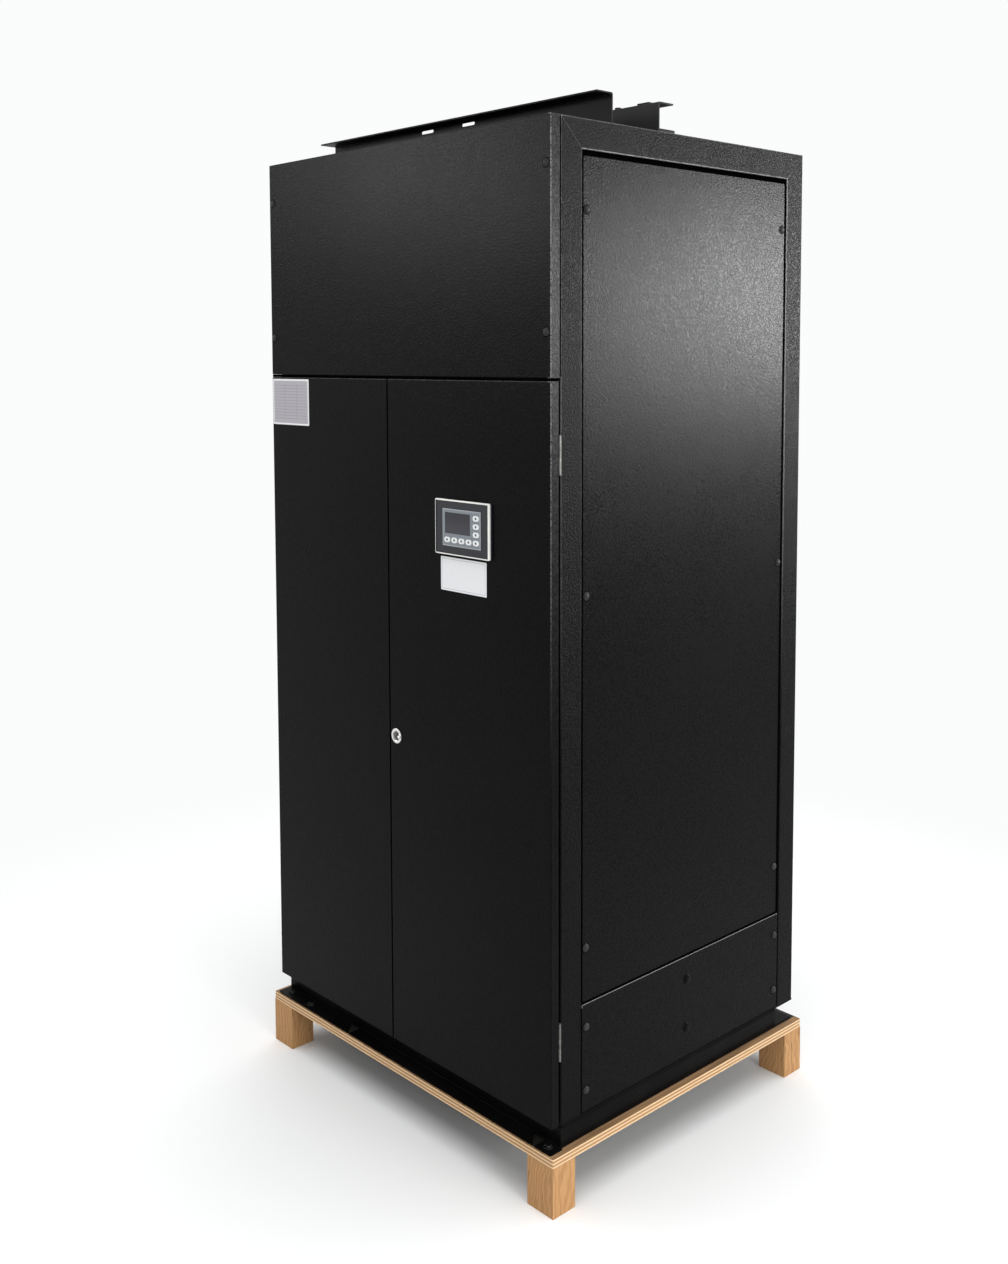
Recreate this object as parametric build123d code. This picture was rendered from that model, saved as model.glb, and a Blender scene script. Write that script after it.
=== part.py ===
from build123d import *
import os

# Computer room air conditioner on its shipping pallet, in millimetres.
# +X is the right side seen from the front, -Y is the front, +Z is up, the floor is Z = 0.

# Pallet
block_width = 70.0
block_depth = 60.0
block_height = 100.0
board_thickness = 18.0
board_side_margin = 15.0
board_front_margin = 10.0
board_rear_margin = 14.0
board_edge_round = 3.0

# Base
base_height = 48.0
base_sheet = 3.0
base_flange = 40.0
front_toe = 32.0
toe_overhang = 4.0
toe_corner_radius = 4.0
toe_notch = 34.0
toe_slit = 6.0
toe_notch_places = (-180.0, 415.0)
base_rear_inset = 64.0
supply_side_margin = 175.0
supply_end_margin = 225.0

# Cabinet frame
cabinet_width = 910.0
frame_depth = 750.0
frame_height = 1900.0
frame_face = 56.0
frame_sheet = 2.0
frame_lip = 15.0
bend_inside = 0.8
bay_depth = 60.0

# Panels
panel_sheet = 2.0
panel_depth = 18.0
panel_recess = 3.0
lower_panel_recess = 0.5
panel_gap = 3.0
lower_panel_gap = 2.4
panel_top_gap = 10.0
panel_edge_round = 1.2
lower_panel_height = 218.0
roof_recess = 2.0

# Return air opening in the roof
grille_side_margin = 46.0
grille_rear_margin = 40.0
grille_rail_gap = 22.0
grille_rim = 14.0
grille_rim_height = 12.0
grille_blade = 3.0
grille_blade_pitch = 20.0
filter_thickness = 46.0
filter_pleat_pitch = 25.0
filter_sheet = 2.0
filter_frame = 20.0
filter_frame_sheet = 3.0

# Doors
door_height = 1419.0
door_thickness = 20.0
door_gap = 6.0
door_sheet = 2.0
door_lip = 10.0
door_edge_round = 2.0
right_door_width = 481.0

# Hinges
hinge_length = 74.0
hinge_leaf = 2.0
hinge_leaf_width = 11.0
knuckle_radius = 2.6
knuckle_count = 5
knuckle_gap = 0.4
pin_radius = 1.25
pin_clearance = 0.05
hinge_low = 128.0
hinge_high = 1246.0

# Quarter-turn lock
lock_inset = 23.0
lock_height = 669.0
lock_flange_radius = 16.0
lock_flange_thickness = 3.5
lock_barrel_radius = 9.0
lock_clearance = 0.3
lock_nut_thickness = 5.0
lock_nut_across = 24.0
lock_dish_radius = 11.0
lock_dish_depth = 2.0
lock_core_radius = 6.0
lock_key_width = 2.0
lock_key_depth = 2.5
lock_pivot_radius = 4.2
lock_pivot_offset = 11.5
cam_thickness = 3.0
cam_width = 14.0
cam_reach = 40.0
cam_gap = 6.0

# Display
display_width = 160.0
display_height = 110.0
display_depth = 9.0
display_edge = 3.0
display_rim = 2.8
display_from_edge = 240.0
display_level = 1128.0
display_recess = 1.5
display_body_inset = 12.0
display_body_depth = 14.0
display_cut_clearance = 1.0
keypad_width = 112.0
keypad_height = 74.0
keypad_thickness = 1.2
screen_width = 75.0
screen_height = 42.0
screen_margin = 7.0
screen_thickness = 1.0
key_width = 17.0
key_breadth = 10.8
key_height = 1.0
key_pitch_x = 21.3
key_pitch_z = 16.0
key_count_row = 5
key_count_column = 3
key_margin = 12.5

# Roof rails
rail_height = 60.0
rail_sheet = 3.0
rail_flange = 44.0
rail_end_inset = 14.0
front_rail_place = 153.0
rear_rail_place = 285.0
slot_length = 40.0
slot_width = 10.0
slot_pitch = 142.0
slot_count = 6
slot_offset = -56.0
web_slot_length = 42.0
web_slot_width = 7.0
web_slot_drop = 8.0
web_slot_places = (-102.0, 32.0)

# Levels, from the floor up
z_board = block_height
z_base = z_board + board_thickness
z_frame = z_base + base_height
z_top = z_frame + frame_height
z_door_top = z_frame + door_height
z_panel_seam = z_frame + lower_panel_height
z_rail_top = z_frame - base_sheet

# Plan positions
half_width = cabinet_width / 2
board_width = cabinet_width + 2 * board_side_margin
door_stack = door_thickness + door_gap
board_depth = board_front_margin + door_stack + frame_depth + board_rear_margin
y_board_front = -board_depth / 2
y_door_face = y_board_front + board_front_margin
y_door_back = y_door_face + door_thickness
y_front = y_door_face + door_stack
y_rear = y_front + frame_depth
y_bay = y_front + bay_depth
panel_seat = panel_recess + panel_depth
roof_seat = roof_recess + panel_depth
opening_edge = half_width - frame_face
z_opening_top = z_top - frame_face
door_split = half_width - right_door_width - door_gap / 2
bend_outside = bend_inside + frame_sheet
bay_edge = opening_edge - bend_outside
z_bay_top = z_door_top - frame_face + frame_lip
far = 4 * (frame_height + cabinet_width)


# A block given by its lowest and highest corners.
def block(low, high):
    size = [b - a for a, b in zip(low, high)]
    middle = [(a + b) / 2 for a, b in zip(low, high)]
    return Pos(*middle) * Box(*size)


# A cylinder along Y between two depths.
def cylinder_y(x, z, radius, y_low, y_high):
    disc = Plane(origin=(x, y_low, z), x_dir=(1, 0, 0), z_dir=(0, 1, 0)) * Circle(radius)
    return extrude(disc, y_high - y_low)


# One sheet folded along the corner points of its outer skin, run along the plane's normal.
def folded(plane, points, sheet, side, length):
    skin = FilletPolyline(*points, radius=bend_inside + sheet)
    section = make_face(offset(skin, amount=sheet, side=side, closed=True))
    return extrude(plane * section, length)


# The half of a right-angled corner that a 45 degree mitre takes off a member running along b.
def mitre_wedge(corner, a, b):
    a = Vector(*a)
    b = Vector(*b)
    plane = Plane(origin=corner, x_dir=a, z_dir=a.cross(b))
    triangle = make_face(Polyline((0, 0), (far, 0), (far, far), close=True))
    return extrude(plane * triangle, far, both=True)


# A frame member mitred at one corner on both of its outer faces.
def mitred(member, corner, run, faces):
    for face in faces:
        member -= mitre_wedge(corner, face, run)
    return member


# A left-hand copy of a right-hand piece.
def left_of(piece):
    return mirror(piece, Plane.YZ)


# A four-sided pan: a face with its edges folded back, open behind. Its face looks along -Y.
def front_pan(x_low, x_high, z_low, z_high, y_face, depth, sheet, edge_round):
    pan = block((x_low, y_face, z_low), (x_high, y_face + depth, z_high))
    pan = fillet(pan.faces().sort_by(Axis.Y)[0].edges(), edge_round)
    return pan - block(
        (x_low + sheet, y_face + sheet, z_low + sheet),
        (x_high - sheet, y_face + depth + sheet, z_high - sheet),
    )


# The pallet board and its four corner blocks
def pallet_board():
    board = block(
        (-board_width / 2, y_board_front, z_board),
        (board_width / 2, y_board_front + board_depth, z_base),
    )
    return fillet(board.edges().filter_by(Axis.Z), board_edge_round)


def pallet_block(side, end):
    x_out = side * board_width / 2
    y_out = end * board_depth / 2
    x_in = x_out - side * block_width
    y_in = y_out - end * block_depth
    return block(
        (min(x_out, x_in), min(y_out, y_in), 0),
        (max(x_out, x_in), max(y_out, y_in), z_board),
    )


# The base front is a Z section: toe flange forward on the board, top flange back under the floor.
def base_front_channel():
    toe_reach = half_width + toe_overhang
    y_toe = y_front - front_toe
    y_back = y_front + base_sheet
    points = [
        (y_toe, z_base),
        (y_back, z_base),
        (y_back, z_rail_top - base_sheet),
        (y_front + base_flange, z_rail_top - base_sheet),
    ]
    section = Plane(origin=(-toe_reach, 0, 0), x_dir=(0, 1, 0), z_dir=(1, 0, 0))
    channel = folded(section, points, base_sheet, Side.LEFT, 2 * toe_reach)
    toe_ends = channel.faces().sort_by(Axis.Y)[0].edges().filter_by(Axis.Z)
    channel = fillet(toe_ends, toe_corner_radius)
    for side in (-1, 1):
        x_wall = side * half_width
        x_tip = side * toe_reach
        x_ledge = side * (half_width - base_flange)
        channel -= block(
            (min(x_wall, x_tip), y_front, z_base),
            (max(x_wall, x_tip), y_front + base_flange, z_rail_top),
        )
        channel -= block(
            (min(x_wall, x_ledge), y_back, z_base),
            (max(x_wall, x_ledge), y_front + base_flange, z_rail_top),
        )
    for place in toe_notch_places:
        relief = Polyline(
            (place, y_front),
            (place, y_toe),
            (place - toe_slit, y_toe),
            (place - toe_notch, y_front),
            close=True,
        )
        channel -= extrude(Pos(0, 0, z_base) * make_face(relief), base_sheet)
    return channel


def base_rear_channel():
    y_web = y_rear - base_rear_inset
    points = [(y_rear, z_base), (y_web, z_base), (y_web, z_rail_top), (y_rear, z_rail_top)]
    reach = half_width - base_sheet
    section = Plane(origin=(-reach, 0, 0), x_dir=(0, 1, 0), z_dir=(1, 0, 0))
    return folded(section, points, base_sheet, Side.RIGHT, 2 * reach)


# The side rails are channels that open inward under the floor.
def base_right_rail():
    y_low = y_front + base_sheet
    y_high = y_rear - base_rear_inset
    x_in = half_width - base_flange
    points = [(x_in, z_base), (half_width, z_base), (half_width, z_rail_top), (x_in, z_rail_top)]
    section = Plane(origin=(0, y_high, 0), x_dir=(1, 0, 0), z_dir=(0, -1, 0))
    return folded(section, points, base_sheet, Side.LEFT, y_high - y_low)


def floor_pan():
    pan = block((-half_width, y_front, z_rail_top), (half_width, y_rear, z_frame))
    supply_x = half_width - supply_side_margin
    return pan - block(
        (-supply_x, y_front + supply_end_margin, z_rail_top),
        (supply_x, y_rear - supply_end_margin, z_frame),
    )


# Corner posts: two outer faces, each folded back to a lip that a panel or cover lands on.
def front_right_post():
    lip_y = y_front + frame_face
    points = [
        (half_width - panel_seat, lip_y + frame_lip),
        (half_width - panel_seat, lip_y),
        (half_width, lip_y),
        (half_width, y_front),
        (opening_edge, y_front),
        (opening_edge, y_bay),
        (opening_edge - frame_lip, y_bay),
    ]
    post = folded(Plane((0, 0, z_frame)), points, frame_sheet, Side.RIGHT, frame_height)
    corner = (half_width, y_front, z_top)
    return mitred(post, corner, (0, 0, -1), [(0, 1, 0), (-1, 0, 0)])


def rear_right_post():
    lip_y = y_rear - frame_face
    points = [
        (opening_edge - frame_lip, y_rear - panel_seat),
        (opening_edge, y_rear - panel_seat),
        (opening_edge, y_rear),
        (half_width, y_rear),
        (half_width, lip_y),
        (half_width - panel_seat, lip_y),
        (half_width - panel_seat, lip_y - frame_lip),
    ]
    post = folded(Plane((0, 0, z_frame)), points, frame_sheet, Side.RIGHT, frame_height)
    corner = (half_width, y_rear, z_top)
    return mitred(post, corner, (0, 0, -1), [(0, -1, 0), (-1, 0, 0)])


# Top rails meet the posts and each other at 45 degrees.
def right_top_rail():
    points = [
        (half_width - panel_seat, z_opening_top - frame_lip),
        (half_width - panel_seat, z_opening_top),
        (half_width, z_opening_top),
        (half_width, z_top),
        (opening_edge, z_top),
        (opening_edge, z_top - roof_seat),
        (opening_edge - frame_lip, z_top - roof_seat),
    ]
    section = Plane(origin=(0, y_rear, 0), x_dir=(1, 0, 0), z_dir=(0, -1, 0))
    rail = folded(section, points, frame_sheet, Side.LEFT, frame_depth)
    faces = [(0, 0, -1), (-1, 0, 0)]
    rail = mitred(rail, (half_width, y_front, z_top), (0, 1, 0), faces)
    return mitred(rail, (half_width, y_rear, z_top), (0, -1, 0), faces)


def cross_top_rail(points, side, y_outer, inward):
    section = Plane(origin=(-half_width, 0, 0), x_dir=(0, 1, 0), z_dir=(1, 0, 0))
    rail = folded(section, points, frame_sheet, side, cabinet_width)
    faces = [(0, 0, -1), (0, inward, 0)]
    rail = mitred(rail, (half_width, y_outer, z_top), (-1, 0, 0), faces)
    return mitred(rail, (-half_width, y_outer, z_top), (1, 0, 0), faces)


def front_top_rail():
    points = [
        (y_front + panel_seat, z_opening_top),
        (y_front, z_opening_top),
        (y_front, z_top),
        (y_front + frame_face, z_top),
        (y_front + frame_face, z_top - roof_seat),
        (y_front + frame_face + frame_lip, z_top - roof_seat),
    ]
    return cross_top_rail(points, Side.RIGHT, y_front, 1)


def rear_top_rail():
    points = [
        (y_rear - panel_seat, z_opening_top - frame_lip),
        (y_rear - panel_seat, z_opening_top),
        (y_rear, z_opening_top),
        (y_rear, z_top),
        (y_rear - frame_face, z_top),
        (y_rear - frame_face, z_top - roof_seat),
        (y_rear - frame_face - frame_lip, z_top - roof_seat),
    ]
    return cross_top_rail(points, Side.LEFT, y_rear, -1)


# The cross rail closes the service bay above the doors and backs the joint with the top panel.
def front_cross_rail():
    z_shelf = z_door_top + door_gap / 2
    y_upstand = y_front + frame_sheet
    points = [
        (y_bay, z_bay_top),
        (y_bay, z_shelf),
        (y_upstand, z_shelf),
        (y_upstand, z_shelf + frame_face / 2),
    ]
    section = Plane(origin=(-bay_edge, 0, 0), x_dir=(0, 1, 0), z_dir=(1, 0, 0))
    return folded(section, points, frame_sheet, Side.LEFT, 2 * bay_edge)


# The stile behind the joint of the doors stands clear of the lock cam.
def centre_stile():
    x_low = door_split - frame_face / 2
    x_high = door_split + frame_face / 2
    y_crown = y_bay - panel_depth
    points = [(x_low, y_bay), (x_low, y_crown), (x_high, y_crown), (x_high, y_bay)]
    return folded(Plane((0, 0, z_frame)), points, frame_sheet, Side.LEFT, z_bay_top - z_frame)


def inner_cover(x_low, x_high):
    return block((x_low, y_bay - panel_sheet, z_frame), (x_high, y_bay, z_bay_top))


# Side and rear panels are pans that land on the lips of the posts.
# A lower panel stands prouder than the upper one, so its top edge shows at the seam.
upper_panel = (z_panel_seam + panel_gap / 2, z_opening_top - panel_top_gap, panel_recess, panel_gap)
lower_panel = (z_frame, z_panel_seam - panel_gap / 2, lower_panel_recess, lower_panel_gap)


def panel_pan(x_low, x_high, levels):
    z_low, z_high, recess, gap = levels
    return front_pan(
        x_low + gap, x_high - gap, z_low, z_high, recess, panel_seat - recess, panel_sheet, panel_edge_round
    )


def right_panel(levels):
    pan = panel_pan(y_front + frame_face, y_rear - frame_face, levels)
    return Pos(half_width, 0, 0) * (Rot(0, 0, 90) * pan)


def rear_panel(levels):
    pan = panel_pan(-opening_edge, opening_edge, levels)
    return Pos(0, y_rear, 0) * (Rot(0, 0, 180) * pan)


def front_top_panel():
    z_low = z_door_top + door_gap
    pan = front_pan(
        -half_width, half_width, z_low, z_top, y_door_face, door_stack, panel_sheet, door_edge_round
    )
    return pan


# Roof: a pan face up, cut out for the return air grille.
roof_x = opening_edge - panel_gap
roof_y_front = y_front + frame_face + panel_gap
roof_y_rear = y_rear - frame_face - panel_gap
roof_face = z_top - roof_recess
grille_y_rear = roof_y_rear - grille_rear_margin
grille_y_front = y_front + rear_rail_place + rail_flange + grille_rail_gap
grille_x = roof_x - grille_side_margin
filter_x = grille_x - grille_rim


def roof_panel():
    pan = block((-roof_x, roof_y_front, roof_face - panel_depth), (roof_x, roof_y_rear, roof_face))
    pan -= block(
        (-roof_x + panel_sheet, roof_y_front + panel_sheet, roof_face - panel_depth - panel_sheet),
        (roof_x - panel_sheet, roof_y_rear - panel_sheet, roof_face - panel_sheet),
    )
    return pan - block(
        (-filter_x, grille_y_front + grille_rim, roof_face - panel_depth),
        (filter_x, grille_y_rear - grille_rim, roof_face + panel_sheet),
    )


def return_air_grille():
    grille = block(
        (-grille_x, grille_y_front, roof_face),
        (grille_x, grille_y_rear, roof_face + grille_rim_height),
    )
    top = grille.faces().sort_by(Axis.Z)[-1]
    grille = fillet(top.edges(), panel_edge_round)
    y_low = grille_y_front + grille_rim
    y_high = grille_y_rear - grille_rim
    grille -= block((-filter_x, y_low, roof_face), (filter_x, y_high, roof_face + grille_rim_height))
    count = int((y_high - y_low) // grille_blade_pitch) - 1
    y_mid = (y_low + y_high) / 2
    lean = grille_rim_height / 2
    for index in range(count):
        y = y_mid + (index - (count - 1) / 2) * grille_blade_pitch
        blade = Polyline(
            (y - lean, roof_face),
            (y - lean + grille_blade, roof_face),
            (y + lean, roof_face + grille_rim_height - grille_blade),
            (y + lean - grille_blade, roof_face + grille_rim_height - grille_blade),
            close=True,
        )
        section = Plane(origin=(-filter_x, 0, 0), x_dir=(0, 1, 0), z_dir=(1, 0, 0))
        grille += extrude(section * make_face(blade), 2 * filter_x)
    return grille


# The filter hangs in a card frame under the roof: one sheet pleated across the opening.
def air_filter():
    z_high = roof_face - panel_sheet
    z_low = z_high - filter_thickness
    x_out = filter_x + filter_frame
    y_low = grille_y_front + grille_rim - filter_frame
    y_high = grille_y_rear - grille_rim + filter_frame
    body = block((-x_out, y_low, z_low), (x_out, y_high, z_high))
    body -= block(
        (-x_out + filter_frame_sheet, y_low + filter_frame_sheet, z_low),
        (x_out - filter_frame_sheet, y_high - filter_frame_sheet, z_high),
    )
    inner = x_out - filter_frame_sheet
    count = int(2 * inner // filter_pleat_pitch)
    pitch = 2 * inner / count
    rise = filter_thickness - 2 * filter_sheet
    upper = []
    for index in range(2 * count + 1):
        level = z_low + filter_sheet + (rise if index % 2 else 0)
        upper.append((-inner + index * pitch / 2, level + filter_sheet))
    lower = [(x, z - 2 * filter_sheet) for x, z in reversed(upper)]
    section = Plane(origin=(0, y_high - filter_frame_sheet, 0), x_dir=(1, 0, 0), z_dir=(0, -1, 0))
    pleats = extrude(
        section * make_face(Polyline(*upper, *lower, close=True)),
        y_high - y_low - 2 * filter_frame_sheet,
    )
    return body + pleats


# Door leaf: a face with returns on four sides and lips folded in behind.
def door_leaf(x_low, x_high):
    leaf = block((x_low, y_door_face, z_frame), (x_high, y_door_back, z_door_top))
    leaf = fillet(leaf.faces().sort_by(Axis.Y)[0].edges(), door_edge_round)
    leaf -= block(
        (x_low + door_sheet, y_door_face + door_sheet, z_frame + door_sheet),
        (x_high - door_sheet, y_door_back - door_sheet, z_door_top - door_sheet),
    )
    return leaf - block(
        (x_low + door_lip, y_door_back - 2 * door_sheet, z_frame + door_lip),
        (x_high - door_lip, y_door_back + door_sheet, z_door_top - door_lip),
    )


right_door_edge = door_split + door_gap / 2
left_door_edge = door_split - door_gap / 2
lock_x = right_door_edge + lock_inset
lock_z = z_frame + lock_height
display_x = half_width - display_from_edge
display_z = z_frame + display_level
display_half_body = display_width / 2 - display_body_inset
display_half_body_z = display_height / 2 - display_body_inset


def right_door():
    leaf = door_leaf(right_door_edge, half_width)
    leaf -= cylinder_y(
        lock_x, lock_z, lock_barrel_radius + lock_clearance, y_door_face - door_sheet, y_door_face + 2 * door_sheet
    )
    return leaf - block(
        (
            display_x - display_half_body - display_cut_clearance,
            y_door_face - door_sheet,
            display_z - display_half_body_z - display_cut_clearance,
        ),
        (
            display_x + display_half_body + display_cut_clearance,
            y_door_face + 2 * door_sheet,
            display_z + display_half_body_z + display_cut_clearance,
        ),
    )


def left_door():
    return door_leaf(-half_width, left_door_edge)


# Butt hinges: knuckles of the frame leaf and the door leaf alternate on one pin in the door gap.
axis_x = half_width
axis_y = (y_door_back + y_front) / 2
knuckle_pitch = hinge_length / knuckle_count
hinge_bottoms = (z_frame + hinge_low, z_frame + hinge_high)
leaf_notch = knuckle_radius + knuckle_gap


# A hinge leaf: a plate with knuckles on its edge, cut back round the knuckles of its partner.
def hinge_leaf_at(z_bottom, y_low, own):
    leaf = block(
        (axis_x - hinge_leaf_width, y_low, z_bottom),
        (axis_x, y_low + hinge_leaf, z_bottom + hinge_length),
    )
    for index in range(knuckle_count):
        z_low = z_bottom + index * knuckle_pitch
        if index % 2 == own:
            barrel = Pos(axis_x, axis_y, z_low + knuckle_pitch / 2) * Cylinder(
                knuckle_radius, knuckle_pitch - knuckle_gap
            )
            leaf += barrel
        else:
            leaf -= block(
                (axis_x - leaf_notch, y_low - hinge_leaf, z_low - knuckle_gap / 2),
                (axis_x + leaf_notch, y_low + 2 * hinge_leaf, z_low + knuckle_pitch + knuckle_gap / 2),
            )
    return leaf


def pin_at(z_bottom, radius):
    return Pos(axis_x, axis_y, z_bottom + hinge_length / 2) * Cylinder(radius, hinge_length)


def hinge_frame_leaves():
    leaves = []
    for z_bottom in hinge_bottoms:
        leaves.append(hinge_leaf_at(z_bottom, y_front - hinge_leaf, 0) + pin_at(z_bottom, pin_radius))
    return Compound(children=[leaf.solid() for leaf in leaves])


def hinge_door_leaves():
    leaves = []
    for z_bottom in hinge_bottoms:
        bore = pin_at(z_bottom, pin_radius + pin_clearance)
        leaves.append(hinge_leaf_at(z_bottom, y_door_back, 1) - bore)
    return Compound(children=[leaf.solid() for leaf in leaves])


# Lock: a flanged barrel clamped through the door, and the core that turns the cam inside it.
y_cam = y_door_back + cam_gap
y_barrel_end = y_cam - lock_clearance


def lock_body():
    y_flange = y_door_face - lock_flange_thickness
    body = cylinder_y(lock_x, lock_z, lock_flange_radius, y_flange, y_door_face)
    body = fillet(body.faces().sort_by(Axis.Y)[0].edges(), lock_flange_thickness / 3)
    body -= cylinder_y(lock_x, lock_z, lock_dish_radius, y_flange, y_flange + lock_dish_depth)
    body += Pos(lock_x + lock_pivot_offset, y_flange, lock_z) * Sphere(lock_pivot_radius)
    body -= cylinder_y(lock_x, lock_z, lock_flange_radius, y_door_face, y_door_face + lock_pivot_radius)
    body += cylinder_y(lock_x, lock_z, lock_barrel_radius, y_door_face, y_barrel_end)
    y_nut = y_door_face + door_sheet
    nut_plane = Plane(origin=(lock_x, y_nut, lock_z), x_dir=(1, 0, 0), z_dir=(0, 1, 0))
    body += extrude(nut_plane * RegularPolygon(lock_nut_across / 2, 6, major_radius=False), lock_nut_thickness)
    return body - cylinder_y(lock_x, lock_z, lock_core_radius + lock_clearance, y_flange, y_barrel_end)


def lock_cylinder():
    y_low = y_door_face - lock_flange_thickness + lock_clearance
    core = cylinder_y(lock_x, lock_z, lock_core_radius, y_low, y_cam + cam_thickness)
    core -= block(
        (lock_x - lock_key_width / 2, y_low, lock_z - lock_core_radius + lock_key_width / 2),
        (lock_x + lock_key_width / 2, y_low + lock_key_depth, lock_z + lock_core_radius / 2),
    )
    half = cam_width / 2
    tip_z = lock_z - cam_reach + half
    cam = block((lock_x - half, y_cam, tip_z), (lock_x + half, y_cam + cam_thickness, lock_z))
    cam += cylinder_y(lock_x, lock_z, half, y_cam, y_cam + cam_thickness)
    cam += cylinder_y(lock_x, tip_z, half, y_cam, y_cam + cam_thickness)
    return core + cam


# Display: a bezel with a sunk face, its keypad plate, window and round keys.
y_display = y_door_face - display_depth
y_sunk = y_display + display_recess
y_keypad = y_sunk - keypad_thickness
keypad_low = display_z - keypad_height / 2
keypad_left = display_x - keypad_width / 2


def display_housing():
    half_x = display_width / 2
    half_z = display_height / 2
    housing = block(
        (display_x - half_x, y_display, display_z - half_z),
        (display_x + half_x, y_door_face, display_z + half_z),
    )
    housing = fillet(housing.edges().filter_by(Axis.Y), display_edge)
    housing = chamfer(housing.faces().sort_by(Axis.Y)[0].edges(), display_edge / 2)
    housing -= block(
        (display_x - half_x + display_rim, y_display, display_z - half_z + display_rim),
        (display_x + half_x - display_rim, y_sunk, display_z + half_z - display_rim),
    )
    return housing + block(
        (display_x - display_half_body, y_door_face, display_z - display_half_body_z),
        (display_x + display_half_body, y_door_face + display_body_depth, display_z + display_half_body_z),
    )


screen_low = keypad_low + keypad_height - screen_margin - screen_height
screen_left = keypad_left + screen_margin


def display_keypad():
    plate = block(
        (keypad_left, y_keypad, keypad_low),
        (keypad_left + keypad_width, y_sunk, keypad_low + keypad_height),
    )
    return plate - block(
        (screen_left, y_keypad, screen_low),
        (screen_left + screen_width, y_sunk, screen_low + screen_height),
    )


def display_screen():
    return block(
        (screen_left, y_sunk - screen_thickness, screen_low),
        (screen_left + screen_width, y_sunk, screen_low + screen_height),
    )


def display_keys():
    x_right = keypad_left + keypad_width - key_margin
    z_row = keypad_low + key_margin
    places = [(x_right - index * key_pitch_x, z_row) for index in range(key_count_row)]
    z_first = z_row + key_pitch_z
    places += [(x_right, z_first + index * key_pitch_z) for index in range(key_count_column)]
    keys = []
    for x, z in places:
        plane = Plane(origin=(x, y_keypad, z), x_dir=(1, 0, 0), z_dir=(0, -1, 0))
        keys.append(extrude(plane * SlotOverall(key_width, key_breadth), key_height))
    return Compound(children=[key.solid() for key in keys])


# Roof rails: channels across the top, the front one with slots in its web, the rear one in its upper flange.
def roof_rail(y_web, outward):
    reach = half_width - rail_end_inset
    z_high = z_top + rail_height
    y_tip = y_web + outward * rail_flange
    points = [(y_tip, z_top), (y_web, z_top), (y_web, z_high), (y_tip, z_high)]
    section = Plane(origin=(-reach, 0, 0), x_dir=(0, 1, 0), z_dir=(1, 0, 0))
    side = Side.RIGHT if outward > 0 else Side.LEFT
    return folded(section, points, rail_sheet, side, 2 * reach)


def front_roof_rail():
    y_web = y_front + front_rail_place
    rail = roof_rail(y_web, -1)
    for x in web_slot_places:
        middle = (x, y_web, z_top + rail_height - web_slot_drop)
        plane = Plane(origin=middle, x_dir=(1, 0, 0), z_dir=(0, -1, 0))
        rail -= extrude(plane * SlotOverall(web_slot_length, web_slot_width), rail_sheet, both=True)
    return rail


def rear_roof_rail():
    y_web = y_front + rear_rail_place
    rail = roof_rail(y_web, 1)
    for index in range(slot_count):
        x = slot_offset + (index - (slot_count - 1) / 2) * slot_pitch
        middle = Pos(x, y_web + rail_flange / 2, z_top + rail_height)
        rail -= extrude(middle * SlotOverall(slot_length, slot_width), rail_sheet, both=True)
    return rail


# Every piece under its own name
pieces = {
    "pallet_board": pallet_board(),
    "pallet_block_front_left": pallet_block(-1, -1),
    "pallet_block_front_right": pallet_block(1, -1),
    "pallet_block_rear_left": pallet_block(-1, 1),
    "pallet_block_rear_right": pallet_block(1, 1),
    "base_front_channel": base_front_channel(),
    "base_rear_channel": base_rear_channel(),
    "base_right_rail": base_right_rail(),
    "base_left_rail": left_of(base_right_rail()),
    "floor_pan": floor_pan(),
    "front_right_post": front_right_post(),
    "front_left_post": left_of(front_right_post()),
    "rear_right_post": rear_right_post(),
    "rear_left_post": left_of(rear_right_post()),
    "right_top_rail": right_top_rail(),
    "left_top_rail": left_of(right_top_rail()),
    "front_top_rail": front_top_rail(),
    "rear_top_rail": rear_top_rail(),
    "front_cross_rail": front_cross_rail(),
    "centre_stile": centre_stile(),
    "inner_left_cover": inner_cover(-bay_edge, door_split - frame_face / 2),
    "inner_right_cover": inner_cover(door_split + frame_face / 2, bay_edge),
    "right_upper_panel": right_panel(upper_panel),
    "right_lower_panel": right_panel(lower_panel),
    "left_upper_panel": left_of(right_panel(upper_panel)),
    "left_lower_panel": left_of(right_panel(lower_panel)),
    "rear_upper_panel": rear_panel(upper_panel),
    "rear_lower_panel": rear_panel(lower_panel),
    "front_top_panel": front_top_panel(),
    "roof_panel": roof_panel(),
    "return_air_grille": return_air_grille(),
    "air_filter": air_filter(),
    "right_door": right_door(),
    "left_door": left_door(),
    "right_hinge_frame_leaves": hinge_frame_leaves(),
    "left_hinge_frame_leaves": left_of(hinge_frame_leaves()),
    "right_hinge_door_leaves": hinge_door_leaves(),
    "left_hinge_door_leaves": left_of(hinge_door_leaves()),
    "lock_body": lock_body(),
    "lock_cylinder": lock_cylinder(),
    "display_housing": display_housing(),
    "display_keypad": display_keypad(),
    "display_screen": display_screen(),
    "display_keys": display_keys(),
    "front_roof_rail": front_roof_rail(),
    "rear_roof_rail": rear_roof_rail(),
}

os.makedirs("parts", exist_ok=True)
for name, piece in pieces.items():
    export_step(piece, f"parts/{name}.step")
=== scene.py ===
import math

import bmesh
import bpy
import numpy as np
from mathutils import Matrix, Vector


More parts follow.
